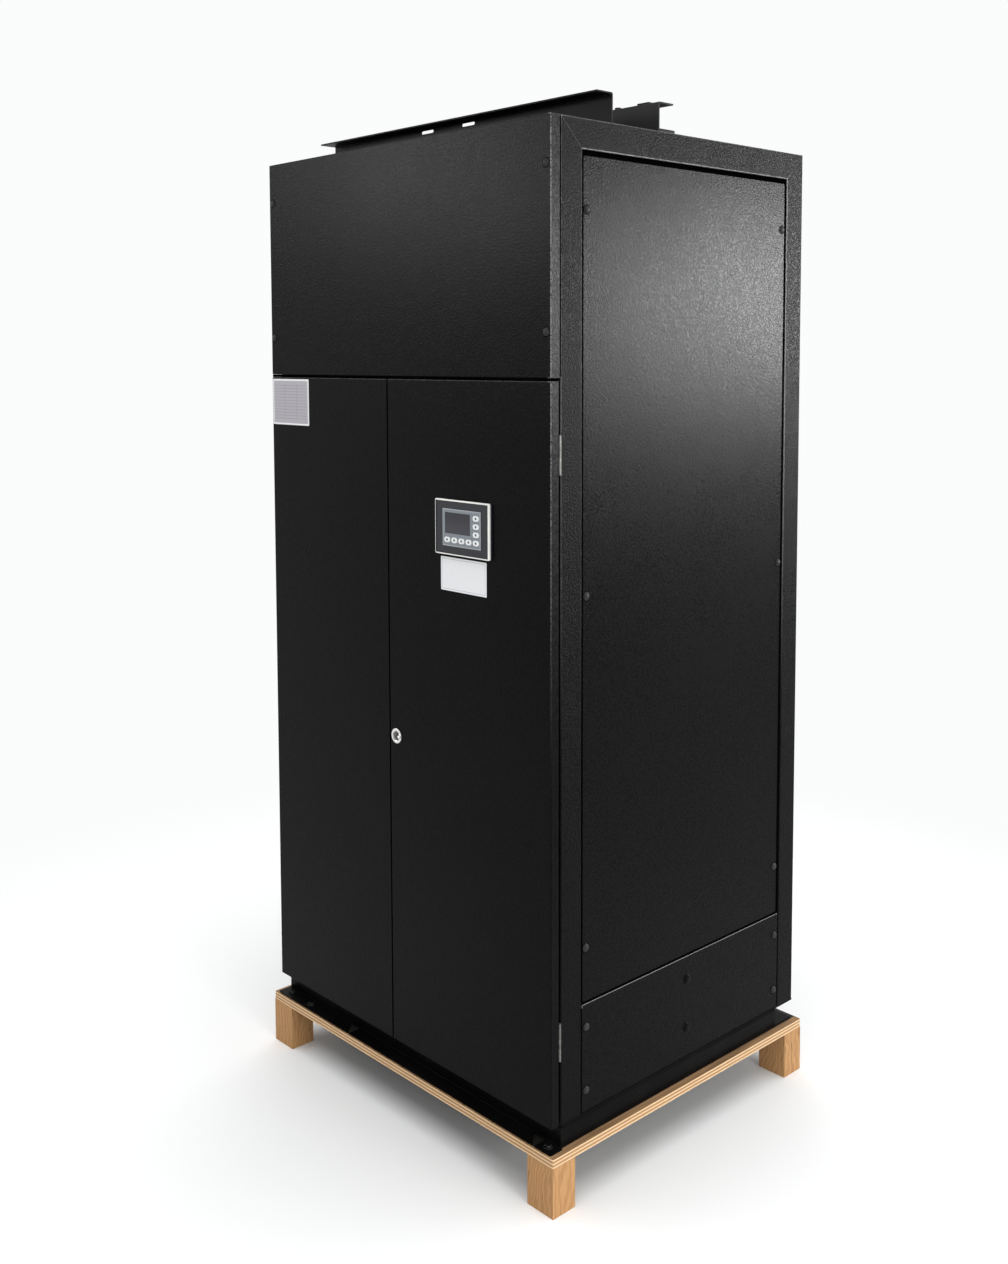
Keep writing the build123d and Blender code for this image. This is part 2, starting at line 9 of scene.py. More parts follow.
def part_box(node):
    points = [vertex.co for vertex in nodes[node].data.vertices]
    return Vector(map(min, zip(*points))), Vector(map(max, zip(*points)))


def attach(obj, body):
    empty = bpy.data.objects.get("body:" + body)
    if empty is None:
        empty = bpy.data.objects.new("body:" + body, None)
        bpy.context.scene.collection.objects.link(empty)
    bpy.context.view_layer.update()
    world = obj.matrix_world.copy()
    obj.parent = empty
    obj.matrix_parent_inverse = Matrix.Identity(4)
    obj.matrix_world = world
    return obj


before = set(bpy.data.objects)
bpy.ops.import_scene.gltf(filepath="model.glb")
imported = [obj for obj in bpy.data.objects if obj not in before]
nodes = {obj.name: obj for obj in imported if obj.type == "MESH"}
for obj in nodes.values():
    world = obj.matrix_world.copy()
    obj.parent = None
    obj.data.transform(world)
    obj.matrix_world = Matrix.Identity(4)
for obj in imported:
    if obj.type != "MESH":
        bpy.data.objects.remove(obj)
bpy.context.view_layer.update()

scene = bpy.context.scene
print("frame loaded:", len(nodes), "nodes")


# Shader wires

class Wire:  # a socket; sums and products of wires add Math nodes
    def __init__(self, tree, socket):
        self.tree = tree
        self.socket = socket

    def node(self, kind, settings=None, sockets=None, out=0):  # settings first, then values or links
        made = self.tree.nodes.new(kind)
        for name, value in (settings or {}).items():
            setattr(made, name, value)
        for name, value in (sockets or {}).items():
            if isinstance(value, Wire):
                self.tree.links.new(value.socket, made.inputs[name])
            else:
                made.inputs[name].default_value = value
        return Wire(self.tree, made.outputs[out])

    def maths(self, operation, first, second=0.0):
        return self.node("ShaderNodeMath", {"operation": operation}, {0: first, 1: second})

    def __add__(self, other):
        return self.maths("ADD", self, other)

    def __radd__(self, other):
        return self.maths("ADD", other, self)

    def __sub__(self, other):
        return self.maths("SUBTRACT", self, other)

    def __rsub__(self, other):
        return self.maths("SUBTRACT", other, self)

    def __mul__(self, other):
        return self.maths("MULTIPLY", self, other)

    def __rmul__(self, other):
        return self.maths("MULTIPLY", other, self)

    def __abs__(self):
        return self.maths("ABSOLUTE", self)

    def __lt__(self, other):
        return self.maths("LESS_THAN", self, other)

    def __gt__(self, other):
        return self.maths("GREATER_THAN", self, other)

    def __mod__(self, other):
        return self.maths("FLOORED_MODULO", self, other)

    def sine(self):
        return self.maths("SINE", self)

    def between(self, low, high):  # 0 below low, 1 above high, smooth between
        settings = {"interpolation_type": "SMOOTHSTEP"}
        return self.node("ShaderNodeMapRange", settings, {"Value": self, "From Min": low, "From Max": high})

    def mixed(self, first, second):  # colours mixed by this value
        tint = {0: self, 6: colour(first), 7: colour(second)}
        return self.node("ShaderNodeMix", {"data_type": "RGBA"}, tint, out=2)

    def axes(self):
        split = self.node("ShaderNodeSeparateXYZ", None, {0: self})
        outputs = split.socket.node.outputs
        return [Wire(self.tree, outputs[axis]) for axis in range(3)]

    def stretched(self, scale):  # the coordinates times a vector
        return self.node("ShaderNodeMapping", None, {"Vector": self, "Scale": scale})

    def noise(self, scale, detail=2.0, roughness=0.5, distortion=0.0):
        values = {"Scale": scale, "Detail": detail, "Roughness": roughness, "Distortion": distortion}
        return self.node("ShaderNodeTexNoise", None, {"Vector": self, **values})

    def bump(self, distance, strength):
        values = {"Height": self, "Distance": distance, "Strength": strength}
        return self.node("ShaderNodeBump", None, values)

    def bends(self, full=0.93, none=0.995):  # 1 on the folds, where the object's normal is well off all axes
        across, along, upward = self.node("ShaderNodeTexCoord", out=1).axes()
        longest = self.maths("MAXIMUM", self.maths("MAXIMUM", abs(across), abs(along)), abs(upward))
        return 1 - longest.between(full, none)


def colour(value):
    return value if isinstance(value, Wire) else (*value, 1)


def newFinish(name, build, constants):  # build gets the Object coordinates and returns the sockets that vary
    finish = bpy.data.materials.new(name)
    finish.use_nodes = True
    tree = finish.node_tree
    shader = tree.nodes["Principled BSDF"]
    for socket, value in constants.items():
        shader.inputs[socket].default_value = value
    place = Wire(tree, tree.nodes.new("ShaderNodeTexCoord").outputs["Object"])
    for socket, wire in build(place).items():
        tree.links.new(wire.socket, shader.inputs[socket])
    return finish


# Black powder coat, with painted highlights on its folds, edges and mitres

coatLook = {
    "dark": (0.002, 0.002, 0.0022),
    "pale": (0.0046, 0.0045, 0.0048),
    "wormScale": 190.0,
    "wormTurns": 20.0,
    "grainScale": 520.0,
    "cloudScale": 2.6,
    "cloudRough": 0.1,
    "bumpStrength": 0.7,
    # from here on: painted highlights on folds, flanks and mitres, fading in with height
    "highlightFrom": 0.8,
    "highlightFull": 1.8,
    "mitreHalf": 0.0008,
    "mitreReach": 0.06,
    "mitrePale": 0.13,
    "edgeBand": 0.006,
    "edgePale": 0.4,
    "doorEdge": 0.008,
    "flankDepth": 0.0006,
    "flankPale": 0.02,
    "flankWorms": 0.11,
    "topFoldDrop": 0.002,
    "topFoldHalf": 0.003,
    "topFoldPale": 0.25,
}
frameBox = [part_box("front_right_post")[0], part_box("rear_right_post")[1]]
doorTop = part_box("right_door")[1].z
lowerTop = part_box("right_lower_panel")[1].z


def foldHighlights(place, folds, worms):  # painted highlights on every fold alike
    return folds


def topFoldHighlight(place, folds, worms):  # painted highlight on the top fold of the lower panels, as an even line
    z = place.axes()[2]
    return place.bends() * (z > lowerTop - coatLook["edgeBand"])


def doorHighlights(place, folds, worms):  # painted highlights on the flanks, outer edges and top folds of the doors, less towards the floor
    x, _, z = place.axes()
    side = abs(x)
    flankTone = coatLook["flankPale"] + coatLook["flankWorms"] * worms
    flank = (side > frameBox[1].x - coatLook["flankDepth"]) * flankTone
    outer = side > frameBox[1].x - coatLook["doorEdge"]
    topFold = abs(z - doorTop + coatLook["topFoldDrop"]) < coatLook["topFoldHalf"]
    wearAndHighlight = folds * place.maths("MAXIMUM", outer, topFold * coatLook["topFoldPale"]) + flank
    return wearAndHighlight * z.between(coatLook["highlightFrom"], coatLook["highlightFull"])


def frameHighlights(place, folds, worms):  # painted highlights: inner folds more than outer edges, less towards the floor; pale lines on the mitres
    _, y, z = place.axes()
    fromEnd = (frameBox[1].y - frameBox[0].y) / 2 - abs(y - (frameBox[1].y + frameBox[0].y) / 2)
    fromTop = frameBox[1].z - z
    inner = (fromEnd > coatLook["edgeBand"]) * (fromTop > coatLook["edgeBand"])
    wearAndHighlight = folds * z.between(coatLook["highlightFrom"], coatLook["highlightFull"])
    wearAndHighlight = wearAndHighlight * (coatLook["edgePale"] + (1 - coatLook["edgePale"]) * inner)
    # painted highlight lines along the mitres
    mitre = (abs(fromEnd - fromTop) < coatLook["mitreHalf"]) * (fromTop < coatLook["mitreReach"])
    return wearAndHighlight + mitre * coatLook["mitrePale"]


def wrinkleCoat(roughness, depth, highlightTone, sheen=0.08, paintHighlights=foldHighlights):
    # Powder coat: worm-like wrinkles from the sine of a noise, with painted highlights where the highlight
    # function puts them.
    def build(place):
        worms = (place.noise(coatLook["wormScale"], 2.0) * coatLook["wormTurns"]).sine() * 0.5 + 0.5
        grain = place.noise(coatLook["grainScale"], 2.0, 0.6)
        clouds = place.noise(coatLook["cloudScale"], 4.0, 0.6)
        tone = (worms * 0.35 + grain * 0.3 + clouds * 0.35).between(0.3, 0.7)
        coat = tone.mixed(coatLook["dark"], coatLook["pale"])
        # painted highlights on the folds, broken up by the grain
        wearAndHighlight = paintHighlights(place, place.bends() * grain.between(0.35, 0.62), worms)
        least = roughness - coatLook["cloudRough"] / 2 - sheen / 2
        return {
            "Base Color": wearAndHighlight.mixed(coat, (highlightTone, highlightTone, highlightTone)),
            "Roughness": least + coatLook["cloudRough"] * clouds + sheen * worms,
            "Normal": (worms * 0.6 + grain * 0.4).bump(depth, coatLook["bumpStrength"]),
        }
    return build


satinLook = {
    "dustScale": 9.0,
    "dustRough": 0.14,
    "peelScale": 140.0,
    "peelDepth": 0.0003,
    "peelStrength": 0.25,
}


def satinCoat(roughness, dark, pale):  # smooth paint with a thin film of dust
    def build(place):
        dust = place.noise(satinLook["dustScale"], 5.0, 0.65)
        peel = place.noise(satinLook["peelScale"], 2.0)
        return {
            "Base Color": dust.between(0.35, 0.75).mixed(dark, pale),
            "Roughness": roughness + satinLook["dustRough"] * dust.between(0.45, 0.8),
            "Normal": peel.bump(satinLook["peelDepth"], satinLook["peelStrength"]),
        }
    return build


# Wood of the pallet

blockLook = {
    "early": (0.49, 0.272, 0.118),
    "late": (0.375, 0.195, 0.079),
    "fibre": (0.33, 0.17, 0.07),
    "knot": (0.2, 0.09, 0.035),
    "crack": (0.13, 0.06, 0.025),
    "ringPitch": 0.009,
    "ringSlant": 0.7,
    "ringWaver": 0.09,
    "waverStretch": (9.0, 9.0, 5.0),
    "fibreStretch": (330.0, 330.0, 14.0),
    "poreStretch": (900.0, 900.0, 60.0),
    "knotStretch": (44.0, 44.0, 22.0),
    "crackStretch": (48.0, 48.0, 4.0),
    "crackHalf": 0.012,
    "grainDepth": 0.0006,
}


def sawnBlock(place):  # wavering growth bands along Z, crossed by fine fibres, thin cracks and a few knots
    x, y, _ = place.axes()
    waver = place.stretched(blockLook["waverStretch"]).noise(1.0, 3.0, 0.55)
    across = x + y * blockLook["ringSlant"] + (waver - 0.5) * blockLook["ringWaver"]
    ring = (across * (2 * math.pi / blockLook["ringPitch"])).sine() * 0.5 + 0.5
    fibres = place.stretched(blockLook["fibreStretch"]).noise(1.0, 4.0, 0.65)
    pores = place.stretched(blockLook["poreStretch"]).noise(1.0, 2.0)
    knots = place.stretched(blockLook["knotStretch"]).noise(1.0, 1.0).between(0.67, 0.75)
    split = abs(place.stretched(blockLook["crackStretch"]).noise(1.0, 3.0, 0.6) - 0.5)
    cracks = 1 - split.between(0.0, blockLook["crackHalf"])
    wood = (ring.between(0.2, 1.0) * 0.75).mixed(blockLook["early"], blockLook["late"])
    wood = (fibres.between(0.45, 0.75) * 0.7).mixed(wood, blockLook["fibre"])
    wood = (pores.between(0.55, 0.75) * 0.4).mixed(wood, blockLook["fibre"])
    wood = (cracks * fibres.between(0.4, 0.6) * 0.85).mixed(wood, blockLook["crack"])
    return {
        "Base Color": (knots * 0.7).mixed(wood, blockLook["knot"]),
        "Roughness": 0.62 + 0.2 * fibres,
        "Normal": (fibres * 0.7 + ring * 0.3).bump(blockLook["grainDepth"], 0.4),
    }


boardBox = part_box("pallet_board")
boardLook = {
    "veneers": 5,
    "cream": (0.78, 0.56, 0.34),
    "tan": (0.42, 0.235, 0.105),
    "glue": (0.1, 0.05, 0.022),
    "face": (0.33, 0.195, 0.096),
    "faceLate": (0.18, 0.1, 0.046),
    "shadeUnderBase": (0.012, 0.011, 0.01),
    "veneerWaver": 0.3,
    "waverStretch": (7.0, 7.0, 0.0),
    "fibreStretch": (34.0, 34.0, 900.0),
    "grainStretch": (110.0, 5.0, 5.0),
    "coverInset": 0.001,
    "faceSkin": 0.0004,
    "grainDepth": 0.0005,
}


def plywood(place):  # veneers stacked in Z on the edges, a grained face, painted shade where the base stands
    x, y, z = place.axes()
    perMetre = boardLook["veneers"] / (boardBox[1].z - boardBox[0].z)
    waver = place.stretched(boardLook["waverStretch"]).noise(1.0, 3.0)
    level = (z - boardBox[0].z) * perMetre + (waver - 0.5) * boardLook["veneerWaver"]
    crossing = (level % 2.0) > 1.0
    glueLine = abs(level % 1.0 - 0.5).between(0.34, 0.46)
    fibres = place.stretched(boardLook["fibreStretch"]).noise(1.0, 4.0, 0.6)
    edge = crossing.mixed(boardLook["cream"], boardLook["tan"])
    edge = (fibres.between(0.45, 0.8) * 0.45).mixed(edge, boardLook["tan"])
    edge = (glueLine * 0.7).mixed(edge, boardLook["glue"])
    grain = place.stretched(boardLook["grainStretch"]).noise(1.0, 5.0, 0.6, 0.6)
    face = grain.between(0.35, 0.7).mixed(boardLook["face"], boardLook["faceLate"])
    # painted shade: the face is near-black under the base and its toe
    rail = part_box("base_right_rail")
    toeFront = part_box("base_front_channel")[0].y
    covered = (abs(x) < rail[1].x - boardLook["coverInset"]) * (y > toeFront + boardLook["coverInset"])
    face = covered.mixed(face, boardLook["shadeUnderBase"])
    onFace = (z > boardBox[1].z - boardLook["faceSkin"]) + (z < boardBox[0].z + boardLook["faceSkin"])
    return {
        "Base Color": onFace.mixed(edge, face),
        "Roughness": 0.58 + 0.2 * fibres,
        "Normal": (grain * 0.5 + fibres * 0.5).bump(boardLook["grainDepth"], 0.35),
    }


# Hinges and lock

steelLook = {
    "tint": (0.24, 0.235, 0.22),
    "dull": (0.12, 0.118, 0.11),
    "roughness": 0.5,
    "markScale": 60.0,
    "brushStretch": (900.0, 900.0, 30.0),
    "brushDepth": 0.0001,
}


def zincSteel(place):  # plated metal with faint handling marks
    marks = place.noise(steelLook["markScale"], 5.0, 0.65)
    brushed = place.stretched(steelLook["brushStretch"]).noise(1.0, 2.0)
    return {
        "Base Color": marks.between(0.4, 0.7).mixed(steelLook["tint"], steelLook["dull"]),
        "Roughness": steelLook["roughness"] + 0.15 * marks,
        "Normal": brushed.bump(steelLook["brushDepth"], 0.2),
    }


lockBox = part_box("lock_body")
lockLook = {
    "bright": (0.82, 0.81, 0.8),
    "wearAndHighlight": (0.66, 0.65, 0.64),
    "dishShade": (0.13, 0.125, 0.12),
    "dishRadius": 0.0108,
    "dishRim": 0.0012,
    "pivotStart": 0.0072,
    "markScale": 90.0,
}


def lockChrome(place):  # bright flange and pivot ball, painted shade inside the dish
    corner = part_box("lock_cylinder")
    centre = ((corner[0].x + corner[1].x) / 2, 0.0, lockBox[1].z - (lockBox[1].x - lockBox[0].x) / 2)
    offset = place.node("ShaderNodeVectorMath", {"operation": "SUBTRACT"}, {0: place, 1: centre})
    flat = offset.stretched((1.0, 0.0, 1.0))
    radius = flat.node("ShaderNodeVectorMath", {"operation": "LENGTH"}, {0: flat}, out=1)
    # painted shade: darker inside the dish
    dishShade = 1 - radius.between(lockLook["dishRadius"] - lockLook["dishRim"], lockLook["dishRadius"])
    dishShade = dishShade * (flat.axes()[0] < lockLook["pivotStart"])
    marks = place.noise(lockLook["markScale"], 5.0, 0.65)
    chrome = marks.between(0.4, 0.7).mixed(lockLook["bright"], lockLook["wearAndHighlight"])
    return {
        "Base Color": dishShade.mixed(chrome, lockLook["dishShade"]),
        "Roughness": 0.16 + 0.15 * marks,
    }


# Display

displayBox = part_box("display_housing")
displayLook = {
    "rim": (0.88, 0.87, 0.84),
    "rimWorn": (0.82, 0.81, 0.78),
    "face": (0.026, 0.027, 0.032),
    "faceFine": (0.036, 0.037, 0.042),
    "rimWidth": 0.0028,
    "rimClear": 0.0001,
    "rimDepth": 0.0048,
    "speckleScale": 900.0,
    "slowScale": 20.0,
    "speckleDepth": 0.0002,
}


def displayCase(place):  # warm white front rim, dark slate inside it and on the rear part of its sides
    x, y, z = place.axes()
    middle = (displayBox[0] + displayBox[1]) / 2
    half = (displayBox[1] - displayBox[0]) / 2
    rimInside = displayLook["rimWidth"] - displayLook["rimClear"]
    inside = (abs(x - middle.x) < half.x - rimInside) * (abs(z - middle.z) < half.z - rimInside)
    speckle = place.noise(displayLook["speckleScale"], 2.0)
    slow = place.noise(displayLook["slowScale"], 3.0)
    rim = slow.between(0.4, 0.7).mixed(displayLook["rim"], displayLook["rimWorn"])
    face = speckle.mixed(displayLook["face"], displayLook["faceFine"])
    behind = y > displayBox[0].y + displayLook["rimDepth"]
    return {
        "Base Color": place.maths("MAXIMUM", inside, behind).mixed(rim, face),
        "Roughness": 0.38 + 0.14 * speckle,
        "Normal": speckle.bump(displayLook["speckleDepth"], 0.2),
    }


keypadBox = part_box("display_keypad")
keypadLook = {
    "sheet": (0.2, 0.225, 0.25),
    "bevelHighlight": (0.42, 0.44, 0.46),
    "bevelWidth": 0.0035,
    "grainScale": 700.0,
    "grainDepth": 0.0001,
}


def keypadSheet(place):  # membrane with a painted highlight along its bevelled border
    x, _, z = place.axes()
    middle = (keypadBox[0] + keypadBox[1]) / 2
    half = (keypadBox[1] - keypadBox[0]) / 2
    borderX = abs(x - middle.x).between(half.x - keypadLook["bevelWidth"], half.x)
    borderZ = abs(z - middle.z).between(half.z - keypadLook["bevelWidth"], half.z)
    grain = place.noise(keypadLook["grainScale"], 2.0)
    border = place.maths("MAXIMUM", borderX, borderZ)
    return {
        "Base Color": (border * 0.8 + grain * 0.1).mixed(keypadLook["sheet"], keypadLook["bevelHighlight"]),
        "Roughness": 0.42 + 0.12 * grain,
        "Normal": grain.bump(keypadLook["grainDepth"], 0.2),
    }


screenLook = {"low": (0.036, 0.036, 0.048), "high": (0.016, 0.016, 0.022), "smearScale": 45.0}


def screenGlass(place):  # dark glass, a little paler towards the bottom
    z = place.axes()[2]
    low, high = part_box("display_screen")
    smear = place.noise(screenLook["smearScale"], 4.0)
    return {
        "Base Color": z.between(low.z, high.z).mixed(screenLook["low"], screenLook["high"]),
        "Roughness": 0.12 + 0.12 * smear,
    }


keyCapLook = {"white": (0.86, 0.87, 0.88), "grey": (0.78, 0.79, 0.8), "grainScale": 800.0}


def keyCap(place):  # white plastic
    grain = place.noise(keyCapLook["grainScale"], 2.0)
    return {
        "Base Color": grain.mixed(keyCapLook["white"], keyCapLook["grey"]),
        "Roughness": 0.4 + 0.1 * grain,
    }


filterLook = {
    "white": (0.8, 0.8, 0.77),
    "grey": (0.62, 0.62, 0.59),
    "stretch": (500.0, 900.0, 500.0),
    "depth": 0.0015,
}


def filterCloth(place):  # white fibre mat
    fibres = place.stretched(filterLook["stretch"]).noise(1.0, 4.0, 0.7)
    return {
        "Base Color": fibres.mixed(filterLook["white"], filterLook["grey"]),
        "Roughness": 0.85 + 0.1 * fibres,
        "Normal": fibres.bump(filterLook["depth"], 0.6),
    }


# Finishes

def gloss(level):
    return {"Specular IOR Level": level}


coatGloss = gloss(0.042)
glassGloss = {"Specular IOR Level": 0.3, "Coat Weight": 0.2, "Coat Roughness": 0.05}
finishTable = {  # what varies over the surface, and the values that are the same all over it
    # a wrinkleCoat's third value is the tone of its painted fold highlights
    "panelCoat": (wrinkleCoat(0.3, 0.00036, 0.02), coatGloss),
    "lowerCoat": (wrinkleCoat(0.3, 0.00036, 0.2, paintHighlights=topFoldHighlight), coatGloss),
    "doorCoat": (wrinkleCoat(0.3, 0.0003, 0.3, 0.02, doorHighlights), coatGloss),
    "frameCoat": (wrinkleCoat(0.38, 0.0009, 0.42, 0.14, frameHighlights), coatGloss),
    "baseCoat": (satinCoat(0.24, (0.002, 0.002, 0.0021), (0.0045, 0.0044, 0.0044)), gloss(0.035)),
    "screwCap": (satinCoat(0.4, (0.026, 0.026, 0.027), (0.04, 0.04, 0.041)), gloss(0.08)),
    "innerCoat": (satinCoat(0.42, (0.05, 0.051, 0.053), (0.059, 0.06, 0.062)), gloss(0.2)),
    # near-black finish for painted shade round the screws and in the gaps and joints
    "paintedShade": (satinCoat(0.6, (0.0008, 0.0008, 0.0008), (0.0016, 0.0016, 0.0016)), gloss(0.0)),
    "stripCoat": (satinCoat(0.5, (0.003, 0.003, 0.003), (0.005, 0.005, 0.005)), gloss(0.02)),
    "railCoat": (wrinkleCoat(0.42, 0.0002, 0.05, 0.02), gloss(0.06)),
    # painted light: the rear rail gets a paler copy of the rail coat
    "rearRailPaintedLight": (satinCoat(0.42, (0.02, 0.02, 0.021), (0.03, 0.03, 0.031)), gloss(0.06)),
    "sawnBlock": (sawnBlock, gloss(0.2)),
    "plywood": (plywood, gloss(0.2)),
    "zincSteel": (zincSteel, {"Metallic": 1.0}),
    "lockChrome": (lockChrome, {"Metallic": 1.0}),
    "displayCase": (displayCase, gloss(0.2)),
    "keypadSheet": (keypadSheet, gloss(0.25)),
    "screenGlass": (screenGlass, glassGloss),
    "keyCap": (keyCap, {}),
    "filterCloth": (filterCloth, gloss(0.1)),
}
finishes = {name: newFinish(name, build, constants) for name, (build, constants) in finishTable.items()}

# The first words of a node's name decide its finish; the rest of the panels get panelCoat
finishWords = {
    "plywood": ("pallet_board",),
    "sawnBlock": ("pallet_block",),
    "baseCoat": ("base_", "floor_pan"),
    "railCoat": ("front_roof_rail",),
    "rearRailPaintedLight": ("rear_roof_rail",),
    "zincSteel": ("right_hinge", "left_hinge"),
    "lockChrome": ("lock_",),
    "displayCase": ("display_housing",),
    "keypadSheet": ("display_keypad",),
    "screenGlass": ("display_screen",),
    "keyCap": ("display_keys",),
    "filterCloth": ("air_filter",),
    "innerCoat": ("inner_",),
    "doorCoat": ("front_top_panel", "right_door", "left_door"),
    "lowerCoat": ("right_lower_panel", "left_lower_panel", "rear_lower_panel"),
    "frameCoat": ("front_right_post", "front_left_post", "rear_right_post", "rear_left_post",
                  "right_top_rail", "left_top_rail", "front_top_rail", "rear_top_rail"),
}

for name, node in nodes.items():
    chosen = next((finish for finish, words in finishWords.items() if name.startswith(words)), "panelCoat")
    for holder in node.material_slots:
        holder.material = finishes[chosen]
print("finishes set:", len(finishes))


# Mesh helpers

facing = {  # local X, Y and outward directions on each side of the cabinet
    "front": ((1, 0, 0), (0, 0, 1), (0, -1, 0)),
    "rear": ((-1, 0, 0), (0, 0, 1), (0, 1, 0)),
    "right": ((0, 1, 0), (0, 0, 1), (1, 0, 0)),
    "left": ((0, -1, 0), (0, 0, 1), (-1, 0, 0)),
    "up": ((1, 0, 0), (0, 1, 0), (0, 0, 1)),
}
slabMiddle = 1.0  # an inset past the corner radius, which draws a slab's row to its middle


def turned(profile, columns):
    # Surface of revolution: radius and height of a profile, with the radius swept round the axis.
    radius, height = np.array(profile).T[:, :, None]
    angle = np.arange(columns) * 2 * math.pi / columns
    rows = np.broadcast_to(height, (len(profile), columns))
    return np.stack([radius * np.cos(angle), radius * np.sin(angle), rows], axis=-1)


def roundedSlab(width, height, corner, profile, columns=48):
    # Rounded rectangle: each corner centre plus the corner radius less an inset, at the profile's heights.
    inset, level = np.array(profile).T[:, :, None]
    angle = (np.arange(columns) + 0.5) * 2 * math.pi / columns
    shrink = np.where(inset > corner, 0.0, 1.0)
    across = ((width / 2 - corner) * np.sign(np.cos(angle)) + (corner - inset) * np.cos(angle)) * shrink
    along = ((height / 2 - corner) * np.sign(np.sin(angle)) + (corner - inset) * np.sin(angle)) * shrink
    return np.stack([across, along, np.broadcast_to(level, across.shape)], axis=-1)


def discProfile(radius, topRadius, top, shoulder, bottom):  # flat top, chamfer, straight side, flat underside
    return [(0.0, top), (topRadius, top), (radius, shoulder), (radius, bottom), (0.0, bottom)]


def slabProfile(top, chamfer, shoulder, bottom):  # the same for a slab, as insets and heights
    return [(slabMiddle, top), (chamfer, top), (0.0, shoulder), (0.0, bottom), (slabMiddle, bottom)]


def placed(shape, centres, side):
    # Each centre plus the shape's coordinates times the side's three directions.
    directions = np.array(facing[side], float)
    return np.array(centres, float)[:, None, None, :] + shape @ directions


def alongAxis(side):  # the level axis of a side: Y on the right and left, X on the front and rear
    return 1 if side in ("right", "left") else 0


def facePlace(side, box, along, level):  # a point on a panel's outer face
    low, high = box
    return {
        "right": (high.x, along, level),
        "left": (low.x, along, level),
        "rear": (along, high.y, level),
        "front": (along, low.y, level),
    }[side]


def closedPiece(name, shells, finish, body, smooth=True):
    # Grid of rows and columns for each shell: quads between neighbours, columns joined round, poles merged.
    count, rows, columns, _ = shells.shape
    index = np.arange(count * rows * columns).reshape(count, rows, columns)
    beside = np.roll(index, -1, axis=2)
    quads = np.stack([index[:, :-1], beside[:, :-1], beside[:, 1:], index[:, 1:]], axis=-1).reshape(-1, 4)
    mesh = bpy.data.meshes.new(name)
    mesh.from_pydata(shells.reshape(-1, 3).tolist(), [], quads.tolist())
    work = bmesh.new()
    work.from_mesh(mesh)
    bmesh.ops.remove_doubles(work, verts=work.verts, dist=1e-6)
    bmesh.ops.recalc_face_normals(work, faces=work.faces)
    work.to_mesh(mesh)
    work.free()
    mesh.polygons.foreach_set("use_smooth", np.full(len(mesh.polygons), smooth))
    mesh.materials.append(finishes[finish])
    piece = bpy.data.objects.new(name, mesh)
    scene.collection.objects.link(piece)
    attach(piece, body)


# Panel screws and caps, with rings of painted shade round the screws

screwLook = {
    "radius": 0.0082,
    "dome": 0.0046,
    "columns": 28,
    "shadeRingRadius": 0.0096,
    "shadeRingEdge": 0.0003,
    "shadeRingTop": 0.0004,
    "shadeRingShoulder": 0.0001,
    "capRadius": 0.0115,
    "capDome": 0.0036,
    "capColumns": 36,
    "rimShare": 0.84,
    "crownFoot": 0.001,
    "flange": ((0.8568, 0.0006), (0.97, 0.0007), (1.0, 0.0003)),  # shares of the radius, and heights
    "edgeInset": 0.012,
    "upperLevels": (1.735, 1.012, 0.327),
    "lowerLevels": (0.17, 0.043),
    "capLevels": (0.167, 0.063),
    "topPanelInsets": (0.087, 0.084),
    "sunk": 0.0004,
}


def headProfile(radius, dome):  # a quarter turn from the centre of the dome to its foot, then the flange
    swell = np.linspace(0.0, 1.0, 8) * math.pi / 2
    rim = radius * screwLook["rimShare"]
    foot = screwLook["crownFoot"]
    crown = [(rim * math.sin(turn), foot + (dome - foot) * math.cos(turn)) for turn in swell]
    flange = [(radius * share, height) for share, height in screwLook["flange"]]
    return crown + flange + [(radius, -screwLook["sunk"]), (0.0, -screwLook["sunk"])]


screwHead = turned(headProfile(screwLook["radius"], screwLook["dome"]), screwLook["columns"])
capHead = turned(headProfile(screwLook["capRadius"], screwLook["capDome"]), screwLook["capColumns"])
# the dark ring under each screw head is painted shade round it
shadeRingProfile = discProfile(screwLook["shadeRingRadius"], screwLook["shadeRingRadius"] - screwLook["shadeRingEdge"],
                          screwLook["shadeRingTop"], screwLook["shadeRingShoulder"], -screwLook["sunk"])
paintedShade = turned(shadeRingProfile, screwLook["columns"])


def screwPlaces(side, box, levels):  # near both upright edges of a panel, at each level
    axis = alongAxis(side)
    columns = (box[0][axis] + screwLook["edgeInset"], box[1][axis] - screwLook["edgeInset"])
    return [facePlace(side, box, along, level) for level in levels for along in columns]


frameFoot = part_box("right_lower_panel")[0].z
for side in ("right", "left", "rear"):
    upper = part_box(side + "_upper_panel")
    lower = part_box(side + "_lower_panel")
    heads = screwPlaces(side, upper, frameFoot + np.array(screwLook["upperLevels"]))
    heads += screwPlaces(side, lower, frameFoot + np.array(screwLook["lowerLevels"]))
    closedPiece(side + "PanelScrews", placed(screwHead, heads, side), "screwCap", "cabinet")
    closedPiece(side + "PanelScrewShade", placed(paintedShade, heads, side), "paintedShade", "cabinet")
    axis = alongAxis(side)
    middle = (lower[0][axis] + lower[1][axis]) / 2
    caps = [facePlace(side, lower, middle, level) for level in frameFoot + np.array(screwLook["capLevels"])]
    closedPiece(side + "PanelCaps", placed(capHead, caps, side), "baseCoat", "cabinet")
print("panel screws and caps made")


# Painted shade: dark bands along the edges of the upper panels, for the shade in the gaps round them

edgeShadeLook = {
    "sideWidth": 0.0035,
    "endWidth": 0.0013,
    "height": 0.0003,
    "sunk": 0.0003,
    "corner": 0.005,
    "outset": 0.0006,
}


